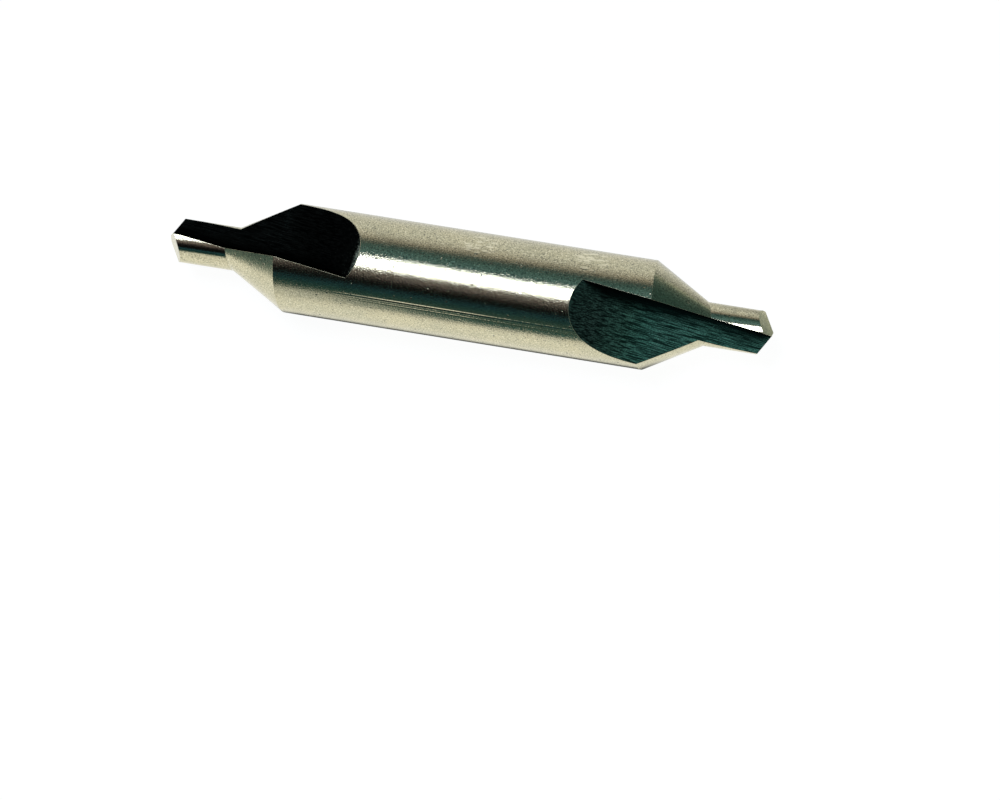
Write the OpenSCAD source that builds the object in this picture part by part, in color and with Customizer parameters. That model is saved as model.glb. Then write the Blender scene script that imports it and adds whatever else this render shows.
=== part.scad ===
// Double-ended centre drill with a 60 degree countersink, right-hand cutting.
// The axis lies along X, the origin is the middle of the body, and +Z is the side that the rake
// faces of the right-hand end point to.

/* [Body] */
// Diameter of the body
body_d = 10; // [8:0.1:12]
// Length over the two points
overall_l = 56; // [50:0.5:70]

/* [Pilot] */
// Diameter of each pilot
pilot_d = 4; // [3:0.1:5]
// Length of each pilot from its point to the countersink, along the cutting edge
pilot_l = 5.45; // [4.5:0.05:6.5]

/* [Point] */
// Angle between the two flat flanks of each point
point_angle = 112; // [100:1:130]
// Turn from the rake direction forward to the chisel edge, where the flanks meet
chisel_turn = 27; // [15:1:40]

/* [Countersink] */
// Angle between the two countersinking edges
countersink_angle = 60; // [50:1:70]
// Distance from the axis to the centre of each land's own cone
relief_offset = 0.34; // [0.1:0.02:0.5]
// Turn from the cutting edge forward to that centre
relief_lead = 44; // [30:1:60]

/* [Flutes] */
// Thickness of the web at the point, between the flute walls
web_t = 0.7; // [0.4:0.05:1.2]
// Slope at which each flute wall leaves the axis behind the point
web_taper = 7.6; // [5:0.1:10]
// Slant of each rake face to the axis
flute_slant = 7.2; // [4:0.1:9]
// Distance by which each lip lies ahead of the axis
lip_lead = 0.2; // [0.1:0.01:0.3]
// Diameter of the wheel that cuts the flutes
cutter_d = 31.2; // [26:0.2:36]
// Distance from the right-hand point at which the wheel's centre stops
right_cutter_stop = 8; // [6:0.05:10]
// Distance from the left-hand point at which the wheel's centre stops
left_cutter_stop = 8.55; // [6:0.05:10]
// Turn of the left-hand end's flutes against the right-hand end's
end_clock = 8.9; // [-45:0.1:45]

/* [Hidden] */
$fn = 128;

// Every end has two lands and two flutes, half a turn apart
TURNS = [0, 180];

// How far a cutting shape runs past the surface that it cuts
run_past = 1;
// Bite of the flute wheel into the web where its track turns out of the body
wheel_bite = 0.01;

// Rise of the countersink for each millimetre along the axis
cone_rise = tan(countersink_angle / 2);
// Length of a cone that is wider than the body all the way to the far point
cone_l = overall_l + body_d;
// Turn from the rake direction to the cutting edge where the pilot meets the countersink
edge_turn = asin((pilot_l * tan(flute_slant) - lip_lead) / (pilot_d / 2));
// Turn from the rake direction to the centre of a land's cone
relief_turn = edge_turn - relief_lead;
// Turn from the rake direction to the plane that parts the two lands, which lies in the flutes
parting_turn = -28;
// Overlap of the two lands' cones at that plane, inside the core of the pilot
parting_overlap = 0.2;

cutter_r = cutter_d / 2;
// Depth of a flute behind its rake face, enough to reach out of the body
flute_depth = body_d;

// One end has its point at the origin and its body towards -X. There the rake face of the first
// land points to +Z, and the land lies on the +Y side of that face.

// Solid inside the cone of one land, wide at the far end, on that land's side of the axis
module land_cone() {
    tip_x = pilot_d / 2 / cone_rise - pilot_l;
    shrink = relief_offset * cos(edge_turn - relief_turn) / cone_rise;
    intersection() {
        translate([tip_x - shrink, relief_offset * sin(relief_turn), relief_offset * cos(relief_turn)])
            rotate([0, -90, 0])
                cylinder(r1 = 0, r2 = cone_l * cone_rise, h = cone_l);
        rotate([-parting_turn, 0, 0])
            translate([-2 * cone_l, -parting_overlap, -cone_l])
                cube([2 * cone_l, 2 * cone_l, 2 * cone_l]);
    }
}

// Solid behind the two flanks of the point, all the way to the far end
module point_wedge() {
    half_w = body_d;
    fall = half_w / tan(point_angle / 2);
    rotate([chisel_turn, 0, 0])
        translate([0, 0, -half_w])
            linear_extrude(2 * half_w)
                polygon([[0, 0], [-fall, half_w], [-cone_l, half_w], [-cone_l, -half_w], [-fall, -half_w]]);
}

// Everything that the turned, relieved and pointed outline of one end leaves standing
module end_outline() {
    intersection() {
        point_wedge();
        union() {
            translate([run_past, 0, 0])
                rotate([0, -90, 0])
                    cylinder(d = pilot_d, h = cone_l);
            for (turn = TURNS)
                rotate([turn, 0, 0])
                    land_cone();
        }
    }
}

// One flute: a flat rake face beside the track of the wheel, which climbs out of the body at its end
module flute_cut(cutter_stop) {
    tangent = cutter_stop + cutter_r * sin(web_taper);
    track_fall = (tangent + run_past) * tan(web_taper);
    floor_z = web_t / 2 + tangent * tan(web_taper);
    translate([0, -lip_lead, 0])
        rotate([0, 0, -flute_slant])
            rotate([90, 0, 0])
                linear_extrude(flute_depth) {
                    polygon([[-tangent, floor_z], [run_past, floor_z - track_fall],
                             [run_past, body_d], [-tangent, body_d]]);
                    translate([-cutter_stop, floor_z + cutter_r * cos(web_taper) - wheel_bite])
                        circle(d = cutter_d);
                }
}

// Both flutes of one end
module end_flutes(cutter_stop) {
    for (turn = TURNS)
        rotate([turn, 0, 0])
            flute_cut(cutter_stop);
}

module at_right_end() {
    translate([overall_l / 2, 0, 0])
        children();
}

module at_left_end() {
    rotate([-end_clock, 0, 0])
        rotate([0, 0, 180])
            at_right_end()
                children();
}

module centre_drill() {
    color("silver")
        difference() {
            intersection() {
                rotate([0, 90, 0])
                    cylinder(d = body_d, h = overall_l + 2 * run_past, center = true);
                at_right_end() end_outline();
                at_left_end() end_outline();
            }
            at_right_end() end_flutes(right_cutter_stop);
            at_left_end() end_flutes(left_cutter_stop);
        }
}

centre_drill();
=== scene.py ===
"""Looks of a double-ended centre drill: ground steel on a white studio floor, seen from above."""

import math

import bpy
from mathutils import Matrix, Vector


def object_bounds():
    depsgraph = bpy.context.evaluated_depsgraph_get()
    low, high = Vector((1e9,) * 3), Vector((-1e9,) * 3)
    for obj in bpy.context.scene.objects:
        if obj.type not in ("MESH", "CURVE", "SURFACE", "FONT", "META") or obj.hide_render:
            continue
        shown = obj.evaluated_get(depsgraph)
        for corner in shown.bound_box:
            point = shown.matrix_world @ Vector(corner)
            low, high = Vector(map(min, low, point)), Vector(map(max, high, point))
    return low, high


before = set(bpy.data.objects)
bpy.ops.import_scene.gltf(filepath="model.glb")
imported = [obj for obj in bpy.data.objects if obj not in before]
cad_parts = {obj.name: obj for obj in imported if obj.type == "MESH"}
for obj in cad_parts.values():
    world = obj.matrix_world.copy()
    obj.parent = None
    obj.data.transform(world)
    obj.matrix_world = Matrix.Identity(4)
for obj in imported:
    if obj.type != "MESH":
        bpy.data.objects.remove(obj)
cad_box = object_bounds()

MM = 0.001

# The drill's own sizes, in millimetres
BODY_R = 5.0
PILOT_R = 2.0
HALF_L = 28.0

# The photograph: its size and the drill's middle in pixels, and pixels for each millimetre there
PHOTO_W = 1000
PHOTO_H = 800
MIDDLE_PX = (470.0, 286.3)
PX_PER_MM = 11.059

# How the drill lies to the camera, in degrees: its axis drops to the right in the picture, its right
# end leans to the camera, and its rake faces are rolled towards the bottom of the picture
AXIS_DROP = 9.204
AXIS_LEAN = 10.156
AXIS_ROLL = 2.335
CAMERA_MM = 754.0
SENSOR_MM = 36.0

# Colours, linear
STEEL = (0.64, 0.592, 0.39)
STEEL_BRIGHT = (0.95, 0.9, 0.66)
STEEL_DULL = (0.55, 0.525, 0.36)
STEEL_DARK = (0.2, 0.2, 0.15)
FLUTE_DARK = (0.03, 0.05, 0.043)
FLUTE_PALE = (0.46, 0.58, 0.49)
FLUTE_SPECK = (0.6, 0.7, 0.65)
# Painted shade for the flutes' inner corner under the rake faces
FLUTE_CORNER_SHADE = (0.006, 0.009, 0.009)
LAMP = (0.88, 0.95, 1.15)
WHITE = (1.0, 1.0, 1.0)
TEAL = (0.04, 0.11, 0.115)
NIGHT = (0.005, 0.005, 0.006)


def camera_axes():
    """The camera's right, up and back directions in the drill's frame."""
    drop = math.radians(AXIS_DROP)
    lean = math.radians(AXIS_LEAN)
    roll = math.radians(AXIS_ROLL)
    axis = Vector((math.cos(lean) * math.cos(drop), -math.cos(lean) * math.sin(drop), math.sin(lean)))
    view = Vector((0, 0, 1))
    toward = (view - axis * view.dot(axis)).normalized()
    above = toward.cross(axis)
    drill_z = toward * math.cos(roll) + above * math.sin(roll)
    drill_y = above * math.cos(roll) - toward * math.sin(roll)
    return [Vector((axis[i], drill_y[i], drill_z[i])) for i in range(3)]


def make_camera():
    """The camera that sees the drill as the photograph does."""
    right, up, back = camera_axes()
    data = bpy.data.cameras.new("camera")
    data.sensor_width = SENSOR_MM
    data.lens = PX_PER_MM * CAMERA_MM * SENSOR_MM / PHOTO_W
    data.clip_start = 0.01
    data.clip_end = 10
    camera = bpy.data.objects.new("camera", data)
    across = (PHOTO_W / 2 - MIDDLE_PX[0]) / PX_PER_MM
    down = (PHOTO_H / 2 - MIDDLE_PX[1]) / PX_PER_MM
    place = back * CAMERA_MM + right * across - up * down
    camera.matrix_world = Matrix.Translation(place * MM) @ Matrix((right, up, back)).transposed().to_4x4()
    bpy.context.scene.collection.objects.link(camera)
    bpy.context.scene.camera = camera


class Nodes:
    """Short ways to add and link the nodes of one tree."""

    def __init__(self, tree):
        self.tree = tree
        tree.nodes.clear()

    def feed(self, socket, value):
        """Links an output to the socket, or sets the socket's own value."""
        if isinstance(value, bpy.types.NodeSocket):
            self.tree.links.new(value, socket)
        elif socket.type == "RGBA":
            socket.default_value = (*value, 1.0)
        else:
            socket.default_value = value

    def add(self, kind, inputs=(), **settings):
        node = self.tree.nodes.new("ShaderNode" + kind)
        for name, value in settings.items():
            setattr(node, name, value)
        for name, value in dict(inputs).items():
            self.feed(node.inputs[name], value)
        return node

    def axes(self, vector):
        """The X, Y and Z of a vector."""
        return self.add("SeparateXYZ", {0: vector}).outputs

    def math(self, operation, *values):
        node = self.add("Math", dict(enumerate(values)), operation=operation)
        return node.outputs[0]

    def times(self, first, second):
        return self.math("MULTIPLY", first, second)

    def less(self, value, share):
        """What is left of 1 when a share of the value is taken away."""
        return self.math("SUBTRACT", 1.0, self.times(value, share))

    def vector(self, operation, *values):
        node = self.add("VectorMath", dict(enumerate(values)), operation=operation)
        return node.outputs["Value" if operation in ("DOT_PRODUCT", "LENGTH") else "Vector"]

    def step(self, value, start, end, low=0.0, high=1.0):
        """Goes smoothly from low to high while the value goes from start to end."""
        node = self.add("MapRange", {"Value": value, "From Min": start, "From Max": end,
                                     "To Min": low, "To Max": high}, interpolation_type="SMOOTHSTEP")
        return node.outputs[0]

    def step_mm(self, value, span, low=0.0, high=1.0):
        """A step over a span that is given in millimetres."""
        return self.step(value, span[0] * MM, span[1] * MM, low, high)

    def blend(self, factor, first, second):
        """A colour between two colours."""
        node = self.add("Mix", data_type="RGBA")
        self.feed(node.inputs[0], factor)
        self.feed(node.inputs[6], first)
        self.feed(node.inputs[7], second)
        return node.outputs[2]

    def ramp(self, factor, stops):
        """A run of colours: stops are pairs of a place and a colour."""
        node = self.add("ValToRGB", {0: factor})
        elements = node.color_ramp.elements
        while len(elements) < len(stops):
            elements.new(1.0)
        for element, (place, colour) in zip(elements, stops):
            element.position = place
            element.color = (*colour, 1.0)
        return node.outputs[0]

    def noise(self, place, scale, detail=2.0, roughness=0.55):
        """Noise with its own number of waves for each metre along the three axes."""
        at = self.add("Mapping", {"Vector": place, "Scale": scale})
        return self.add("TexNoise", {"Vector": at.outputs[0], "Scale": 1.0, "Detail": detail,
                                     "Roughness": roughness}).outputs[0]


def grey(level):
    return (level, level, level)


# The room: runs of colour from the horizon, at 0, to straight up, at 1
FRONT = [(0.0, grey(1.0)), (0.46, grey(0.9)), (0.54, (0.025, 0.09, 0.09)), (0.62, (0.013, 0.041, 0.048)),
         (0.68, (0.013, 0.048, 0.06)), (0.73, (0.02, 0.085, 0.13)), (0.77, NIGHT), (0.89, NIGHT),
         (0.93, (0.03, 0.025, 0.03)), (0.95, (0.095, 0.078, 0.085)), (0.967, (0.22, 0.185, 0.2)),
         (1.0, (0.36, 0.35, 0.4))]
RIGHT = [(0.06, grey(0.8)), (0.12, (0.03, 0.06, 0.06)), (0.7, (0.035, 0.065, 0.065)),
         (0.9, (0.06, 0.14, 0.13)), (1.0, (0.08, 0.22, 0.215))]
LEFT = [(0.0, grey(0.8)), (0.05, (0.4, 0.45, 0.43)), (0.1, (0.15, 0.22, 0.22)), (0.25, (0.09, 0.15, 0.15)),
        (0.42, NIGHT)]
BACK = [(0.08, grey(0.8)), (0.14, (0.03, 0.06, 0.06)), (0.5, (0.05, 0.09, 0.1)), (0.62, (0.05, 0.11, 0.12)),
        (0.72, (0.08, 0.17, 0.19)), (0.8, (0.12, 0.24, 0.28)), (0.95, NIGHT)]
BACKDROP = [(0.1, grey(0.63)), (0.22, grey(0.54)), (0.3, (0.43, 0.4, 0.38)), (0.39, (0.25, 0.24, 0.22)),
            (0.46, (0.13, 0.14, 0.14)), (0.5, (0.06, 0.095, 0.1))]
SIDE = [(0.1, grey(0.8)), (0.3, grey(0.45)), (0.6, grey(0.25)), (0.9, NIGHT)]

# Where one run of colour passes into the next, as parts of a direction's X or Y
RIGHT_FROM_X = (-0.1, 0.08)
BACK_FROM_Y = (0.2, 0.5)
BACKDROP_FROM_Y = (0.7, 0.88)
BACKDROP_TOP = 0.5
LEFT_FROM_X = (-0.25, -0.4)
LEFT_DARK_Y = (-0.2, 0.1)
LEFT_GLOW_Y = (0.55, 0.75)
SIDE_FROM_X = (0.35, 0.6)
SIDE_FROM_Y = (0.2, 0.45)


def make_world():
    """A dark room with a pale horizon, grey-brown overhead at -X, teal at +X, and a pale backdrop at +Y."""
    world = bpy.data.worlds.new("studio")
    bpy.context.scene.world = world
    world.use_nodes = True
    n = Nodes(world.node_tree)
    way = n.axes(n.add("TexCoord").outputs["Generated"])
    x, y, height = (way[name] for name in "XYZ")
    side = n.ramp(height, SIDE)
    sky = n.blend(n.step(x, *RIGHT_FROM_X), n.ramp(height, FRONT), n.ramp(height, RIGHT))
    sky = n.blend(n.step(y, *BACK_FROM_Y), sky, n.ramp(height, BACK))
    low = n.times(n.step(y, *BACKDROP_FROM_Y), n.math("LESS_THAN", height, BACKDROP_TOP))
    sky = n.blend(low, sky, n.ramp(height, BACKDROP))
    left = n.blend(n.step(y, *LEFT_DARK_Y), n.ramp(height, LEFT), NIGHT)
    left = n.blend(n.step(y, *LEFT_GLOW_Y), left, side)
    sky = n.blend(n.step(x, *LEFT_FROM_X), sky, left)
    far = n.times(n.step(x, *SIDE_FROM_X), n.step(n.math("ABSOLUTE", y), *SIDE_FROM_Y))
    sky = n.blend(far, sky, side)
    shine = n.add("Background", {"Color": sky})
    n.add("OutputWorld", {"Surface": shine.outputs[0]})


def make_card(name, corners, colour):
    """A shining card that only the steel sees. The colour comes from a function of the card's nodes."""
    mesh = bpy.data.meshes.new(name)
    mesh.from_pydata([tuple(c * MM for c in corner) for corner in corners], [], [(0, 1, 2, 3)])
    card = bpy.data.objects.new(name, mesh)
    bpy.context.scene.collection.objects.link(card)
    card.visible_camera = False
    card.visible_shadow = False
    material = bpy.data.materials.new(name)
    material.use_nodes = True
    n = Nodes(material.node_tree)
    shine = n.add("Emission", {"Color": colour(n)})
    n.add("OutputMaterial", {"Surface": shine.outputs[0]})
    mesh.materials.append(material)


# Cards that the steel mirrors: places in millimetres, and colours from the floor, at 0, to the top, at 1
SCREEN_Y = -50.0
SCREEN_X = (-33.0, 187.0)
SCREEN_TOP = 42.5
SCREEN_PALE = [(0.56, grey(0.9)), (0.75, (0.03, 0.08, 0.08))]
SCREEN_BANDS = [(0.2, grey(0.85)), (0.28, TEAL), (0.5, TEAL), (0.58, (0.075, 0.11, 0.098)),
                (0.78, (0.06, 0.095, 0.086)), (0.88, (0.04, 0.085, 0.08)), (1.0, (0.025, 0.08, 0.08))]
SCREEN_FADE = (0.0, 0.115)
FLAG_X = 29.4
FLAG_Y = (0.4, 90.0)
FLAG_TOP = 35.0
FLAG_RUN = [(0.0, (0.52, 0.55, 0.48)), (0.07, (0.33, 0.37, 0.33)), (0.11, (0.165, 0.21, 0.2)),
            (0.2, (0.085, 0.13, 0.125)), (0.36, (0.034, 0.075, 0.075))]


def screen_bands(n):
    """White at the floor, then dark greens and teals. At the screen's left end the white reaches higher."""
    axes = n.axes(n.add("TexCoord").outputs["Generated"])
    pale = n.ramp(axes["Z"], SCREEN_PALE)
    return n.blend(n.step(axes["X"], *SCREEN_FADE), pale, n.ramp(axes["Z"], SCREEN_BANDS))


def flag_fade(n):
    """Dark teal that fades to a pale grey-green at the floor."""
    return n.ramp(n.axes(n.add("TexCoord").outputs["Generated"])["Z"], FLAG_RUN)


def make_cards():
    """A low screen along the -Y side, and a dark flag beside the right-hand point."""
    base = cad_box[0].z / MM
    left, right = SCREEN_X
    top = base + SCREEN_TOP
    make_card("screen", [(left, SCREEN_Y, base), (right, SCREEN_Y, base), (right, SCREEN_Y, top),
                         (left, SCREEN_Y, top)], screen_bands)
    near, far = FLAG_Y
    top = base + FLAG_TOP
    make_card("flag", [(FLAG_X, near, base), (FLAG_X, far, base), (FLAG_X, far, top), (FLAG_X, near, top)],
              flag_fade)


# The lamp: its lean from straight up and its width, in degrees along X and Y, and its distance
SOFTBOX_WAY = (-7.5, 13.1)
SOFTBOX_SPAN = (15.0, 19.1)
SOFTBOX_MM = 1500.0
SOFTBOX_RADIANCE = 8.0


def make_softbox():
    """One soft lamp almost overhead, leaning to -X and +Y."""
    lean_x, lean_y = (math.tan(math.radians(a)) for a in SOFTBOX_WAY)
    way = Vector((lean_x, lean_y, 1.0)).normalized()
    width, depth = (2 * SOFTBOX_MM * MM * math.tan(math.radians(a / 2)) for a in SOFTBOX_SPAN)
    data = bpy.data.lights.new("softbox", "AREA")
    data.shape = "RECTANGLE"
    data.size = width
    data.size_y = depth
    data.color = LAMP
    data.energy = SOFTBOX_RADIANCE * math.pi * width * depth
    across = (Vector((1, 0, 0)) - way * way.x).normalized()
    lamp = bpy.data.objects.new("softbox", data)
    turn = Matrix((across, way.cross(across), way)).transposed().to_4x4()
    lamp.matrix_world = Matrix.Translation(way * SOFTBOX_MM * MM) @ turn
    lamp.visible_camera = False
    bpy.context.scene.collection.objects.link(lamp)


FLOOR_R = 1.5
FLOOR_SIDES = 96
FLOOR_GLOW = 0.95
FLOOR_PALE = grey(0.2)

# Painted shade on the floor, which only the steel mirrors: spans in millimetres, and how white or how much
# darker it is
FAR_Y = (0.0, 6.0)
FAR_WHITE = 0.76
BY_FLAG_X = (18.0, 28.0)
BY_FLAG_Y = (3.0, 12.0)
BY_FLAG_SHADE = 0.6
UNDER_X = (20.0, 16.0)
UNDER_Y = (-8.8, -6.4)
UNDER_SHADE = 0.95


def floor_shade(n):
    """Painted shade on the floor as the steel sees it: less white at +Y and beside the flag, and a painted
    shadow along the body at -Y.
    """
    axes = n.axes(n.add("TexCoord").outputs["Object"])
    away = n.step_mm(axes["Y"], FAR_Y, 1.0, FAR_WHITE)
    by_flag = n.times(n.step_mm(axes["X"], BY_FLAG_X), n.step_mm(axes["Y"], BY_FLAG_Y))
    under = n.times(n.step_mm(axes["Y"], UNDER_Y), n.step_mm(n.math("ABSOLUTE", axes["X"]), UNDER_X))
    under = n.times(under, n.math("LESS_THAN", axes["Y"], 0.0))
    return n.times(n.times(away, n.less(by_flag, BY_FLAG_SHADE)), n.less(under, UNDER_SHADE))


def make_floor():
    """A disc under the drill that shines white to the eye and, with painted shade, in the steel, and keeps a
    faint shadow.
    """
    bpy.ops.mesh.primitive_circle_add(vertices=FLOOR_SIDES, radius=FLOOR_R, fill_type="NGON",
                                      location=(0, 0, cad_box[0].z))
    floor = bpy.context.object
    floor.name = "floor"
    material = bpy.data.materials.new("white_floor")
    material.use_nodes = True
    n = Nodes(material.node_tree)
    path = n.add("LightPath").outputs
    # The steel sees the floor's glow through painted shade, including a painted shadow along the body at -Y
    mirrored = n.times(path["Is Glossy Ray"], floor_shade(n))
    seen = n.math("MAXIMUM", n.math("MAXIMUM", path["Is Camera Ray"], mirrored), path["Is Transmission Ray"])
    glow = n.add("Emission", {"Color": WHITE, "Strength": n.times(seen, FLOOR_GLOW)})
    pale = n.add("BsdfDiffuse", {"Color": FLOOR_PALE})
    both = n.add("AddShader", {0: glow.outputs[0], 1: pale.outputs[0]})
    n.add("OutputMaterial", {"Surface": both.outputs[0]})
    floor.data.materials.append(material)


# The flutes: slant in degrees, and where the countersink starts and ends, in millimetres from the point
FLUTE_SLANT = 7.2
CONE_FROM_POINT = (6.4, 11.66)
UNDER_SKIN_MM = 0.03
# Largest share of the normal that points out on a flute wall, and along the axis on one that is no flank
WALL_OUT = 0.7
WALL_ALONG = 0.72

# Patches of dashes: place along X, turn from +Z to +Y in degrees, and reach
CHATTER_AT = ((0.9, 47.0, 1.9), (11.1, 51.0, 1.9))
CHATTER_FULL = 0.6
CHATTER_TURN = 4.0
CHATTER_CELLS = (1100.0, 2600.0, 2600.0)
CHATTER_DASH = (0.55, 0.3)

# Scratches: turn from +Z in degrees, and depth. Along X they start, are full, begin to fade and end fading.
SCRATCHES = ((-32.4, 0.85), (-35.2, 0.35), (-37.2, 0.4))
SCRATCH_MM = 0.12
SCRATCH_START = (-13.0, -5.0)
SCRATCH_FADE = (7.0, -2.0)
SCRATCH_LEFT = 0.5

# The finish: waves or cells for each metre along the three axes
MARKS = (6000.0, 1800.0, 1800.0)
GRAIN = (8000.0, 8000.0, 8000.0)
FINE = (17000.0, 17000.0, 17000.0)
CLOUDS = (260.0, 420.0, 420.0)
STREAKS = (350.0, 13000.0, 3500.0)
PIT_CELLS = 1200.0
PIT_SPAN = (0.13, 0.05)

# Specks are sparser on the -Y side, over a span in millimetres
SPECK_Y = (-3.0, 2.0)
SPECK_SPARSE = 0.55
DARK_SPECK = (0.47, 0.29, 0.0, 0.95)
BRIGHT_SPECK = (0.55, 0.72, 0.0, 0.85)
PIT_TINT = 0.9
DASH_TINT = 0.7

# Colour of the flutes: streaks, dark grain, pale specks, and painted shade, a black band in the corner under
# the rake faces
STREAK_SPAN = (0.41, 0.61)
FLUTE_GRAIN = (0.6, 0.35, 0.0, 0.6)
FLUTE_PIT = 0.5
CORNER_SHADE_MM = 2.4
CORNER_SHADE_SPAN = (0.68, 0.9)

# Relief: its full depth in millimetres, and the shares of it
GRAIN_MM = 0.02
MARKS_RELIEF = 0.2
GRAIN_RELIEF = 0.45
FINE_RELIEF = 0.3
PIT_RELIEF = 0.8
SCRATCH_SMOOTH = 0.7
SCRATCH_RELIEF = 1.6
DASH_RELIEF = 0.5
STREAK_RELIEF = 0.3

# The pilots are ground finer, from this far along X to that far
PILOT_X = (21.5, 22.8)
PILOT_RELIEF = 0.4

# Rounded edges have no relief and are duller. How far the normal turns there is told by a dot product.
EDGE_MM = 0.06
EDGE_SPAN = (0.97, 0.999)
EDGE_ROUGH = 0.5
GROUND_ROUGH = 0.11
FLUTE_ROUGH = 0.09


def flute_mask(n, place):
    """1 on the walls and rake faces of the flutes, 0 on the ground outside and on the points' flanks."""
    outward = n.vector("MULTIPLY", place, (0.0, 1.0, 1.0))
    radius = n.vector("LENGTH", outward)
    from_point = n.math("SUBTRACT", HALF_L * MM, n.math("ABSOLUTE", n.axes(place)["X"]))
    start, end = CONE_FROM_POINT
    ground_r = n.add("MapRange", {"Value": from_point, "From Min": start * MM, "From Max": end * MM,
                                  "To Min": (PILOT_R - UNDER_SKIN_MM) * MM,
                                  "To Max": (BODY_R - UNDER_SKIN_MM) * MM})
    inside = n.math("LESS_THAN", radius, ground_r.outputs[0])
    normal = n.add("NewGeometry").outputs["Normal"]
    facing_out = n.vector("DOT_PRODUCT", normal, n.vector("NORMALIZE", outward))
    edge_on = n.math("LESS_THAN", facing_out, WALL_OUT)
    along = n.math("ABSOLUTE", n.axes(normal)["X"])
    not_flank = n.math("LESS_THAN", along, WALL_ALONG)
    return n.times(n.math("MAXIMUM", inside, edge_on), not_flank)


def chatter(n, place):
    """1 on the short dashes that the grinding wheel left in two patches on the body."""
    near = 0.0
    for x, turn, reach in CHATTER_AT:
        angle = math.radians(turn)
        spot = (x * MM, BODY_R * MM * math.sin(angle), BODY_R * MM * math.cos(angle))
        away = n.vector("LENGTH", n.vector("SUBTRACT", place, spot))
        near = n.math("MAXIMUM", near, n.step_mm(away, (reach, reach * CHATTER_FULL)))
    turned = n.add("Mapping", {"Vector": place, "Rotation": (0.0, 0.0, math.radians(CHATTER_TURN)),
                               "Scale": CHATTER_CELLS}).outputs[0]
    scales = n.add("TexVoronoi", {"Vector": turned, "Scale": 1.0, "Randomness": 0.7})
    return n.times(near, n.step(scales.outputs["Distance"], *CHATTER_DASH))


def scratches(n, place):
    """1 in the long fine scratches along the body, which start at -X and fade towards +X."""
    axes = n.axes(place)
    turn = n.math("ARCTAN2", axes["Y"], axes["Z"])
    deep = 0.0
    for at, depth in SCRATCHES:
        away = n.math("ABSOLUTE", n.math("SUBTRACT", turn, math.radians(at)))
        deep = n.math("MAXIMUM", deep, n.step(away, SCRATCH_MM / BODY_R, 0.0, 0.0, depth))
    deep = n.times(deep, n.step_mm(axes["X"], SCRATCH_START))
    return n.times(deep, n.step_mm(axes["X"], SCRATCH_FADE, SCRATCH_LEFT, 1.0))


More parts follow.
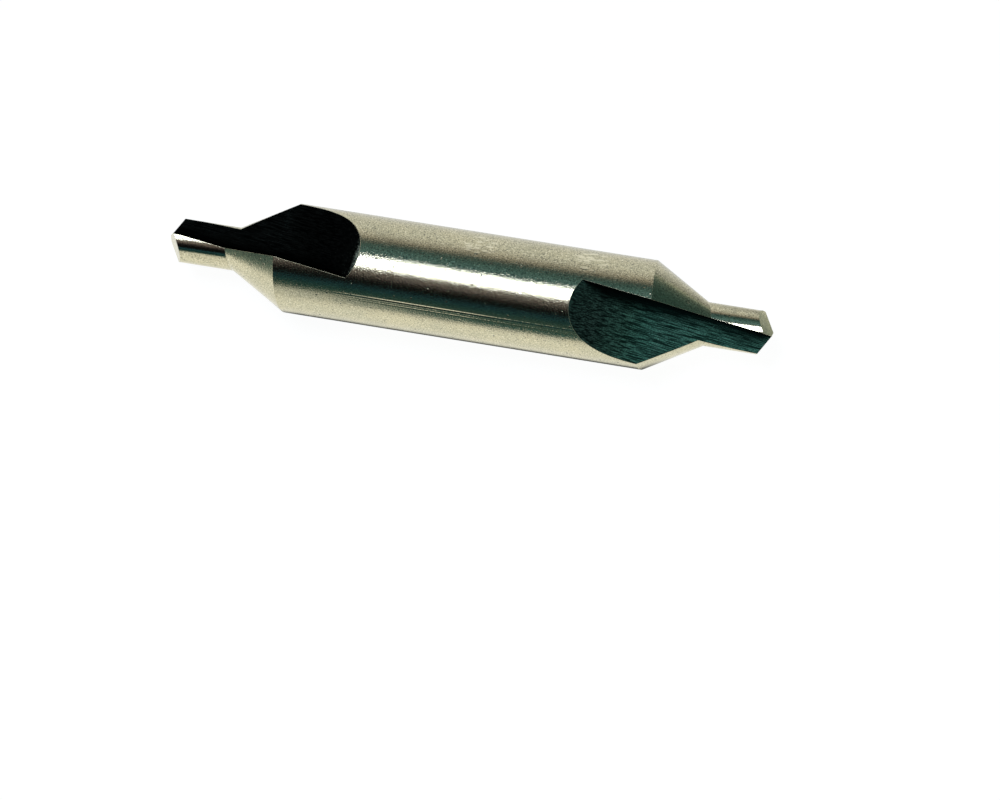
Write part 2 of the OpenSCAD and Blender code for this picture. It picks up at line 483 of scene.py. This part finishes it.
def make_steel():
    """Ground steel: fine marks round the body, small pits, and darker streaked flutes with painted shade in
    their inner corners.
    """
    material = bpy.data.materials.new("ground_steel_look")
    material.use_nodes = True
    n = Nodes(material.node_tree)
    place = n.add("TexCoord").outputs["Object"]
    axes = n.axes(place)
    flute = flute_mask(n, place)

    marks = n.noise(place, MARKS)
    grain = n.noise(place, GRAIN, detail=1.0)
    fine = n.noise(place, FINE, detail=0.0)
    clouds = n.noise(place, CLOUDS, detail=5.0, roughness=0.7)
    pit_cells = n.add("TexVoronoi", {"Vector": place, "Scale": PIT_CELLS, "Randomness": 1.0})
    pit = n.step(pit_cells.outputs["Distance"], *PIT_SPAN)
    dashes = chatter(n, place)
    scratch = scratches(n, place)

    specks = n.step_mm(axes["Y"], SPECK_Y, SPECK_SPARSE, 1.0)
    bare = n.blend(n.step(clouds, 0.3, 0.7), STEEL_DULL, STEEL)
    bare = n.blend(n.times(specks, n.step(grain, *DARK_SPECK)), bare, STEEL_DARK)
    bare = n.blend(n.times(specks, n.step(grain, *BRIGHT_SPECK)), bare, STEEL_BRIGHT)
    bare = n.blend(n.times(pit, PIT_TINT), bare, STEEL_DARK)
    bare = n.blend(n.times(dashes, DASH_TINT), bare, STEEL_BRIGHT)

    slant = (0.0, 0.0, math.radians(FLUTE_SLANT))
    along_flute = n.add("Mapping", {"Vector": place, "Rotation": slant}).outputs[0]
    streaks = n.noise(along_flute, STREAKS)
    # Painted shade: ambient occlusion darkens the flutes' inner corner, under the rake faces, to near black
    corner = n.add("AmbientOcclusion", {"Distance": CORNER_SHADE_MM * MM}, only_local=True,
                   samples=8).outputs["AO"]
    cut = n.blend(n.step(streaks, *STREAK_SPAN), FLUTE_DARK, FLUTE_PALE)
    cut = n.blend(n.step(grain, *FLUTE_GRAIN), cut, FLUTE_DARK)
    cut = n.blend(n.times(pit, FLUTE_PIT), cut, FLUTE_SPECK)
    cut = n.blend(n.step(corner, *CORNER_SHADE_SPAN), FLUTE_CORNER_SHADE, cut)

    height = n.math("ADD", n.times(marks, MARKS_RELIEF), n.times(grain, GRAIN_RELIEF))
    height = n.math("ADD", height, n.times(fine, FINE_RELIEF))
    height = n.math("SUBTRACT", height, n.times(pit, PIT_RELIEF))
    height = n.times(height, n.less(scratch, SCRATCH_SMOOTH))
    height = n.math("SUBTRACT", height, n.times(scratch, SCRATCH_RELIEF))
    height = n.math("ADD", height, n.times(dashes, DASH_RELIEF))
    height = n.add("Mix", {0: flute, 2: height, 3: n.times(streaks, STREAK_RELIEF)}).outputs[0]
    round_edge = n.add("Bevel", {"Radius": EDGE_MM * MM}, samples=4).outputs[0]
    level = n.vector("DOT_PRODUCT", round_edge, n.add("NewGeometry").outputs["Normal"])
    coarse = n.step_mm(n.math("ABSOLUTE", axes["X"]), PILOT_X, 1.0, PILOT_RELIEF)
    strength = n.times(n.step(level, *EDGE_SPAN), coarse)
    bump = n.add("Bump", {"Strength": strength, "Distance": GRAIN_MM * MM, "Height": height,
                          "Normal": round_edge})
    smooth = n.step(flute, 0.0, 1.0, GROUND_ROUGH, FLUTE_ROUGH)
    rough = n.step(level, *EDGE_SPAN, EDGE_ROUGH, smooth)
    steel = n.add("BsdfPrincipled", {"Base Color": n.blend(flute, bare, cut), "Metallic": 1.0,
                                     "Roughness": rough, "Normal": bump.outputs[0]})
    n.add("OutputMaterial", {"Surface": steel.outputs[0]})
    return material


def main():
    scene = bpy.context.scene
    scene.view_settings.view_transform = "Standard"
    make_camera()
    make_world()
    make_cards()
    make_softbox()
    make_floor()
    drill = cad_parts["centre_drill"]
    drill.material_slots[0].material = make_steel()


main()
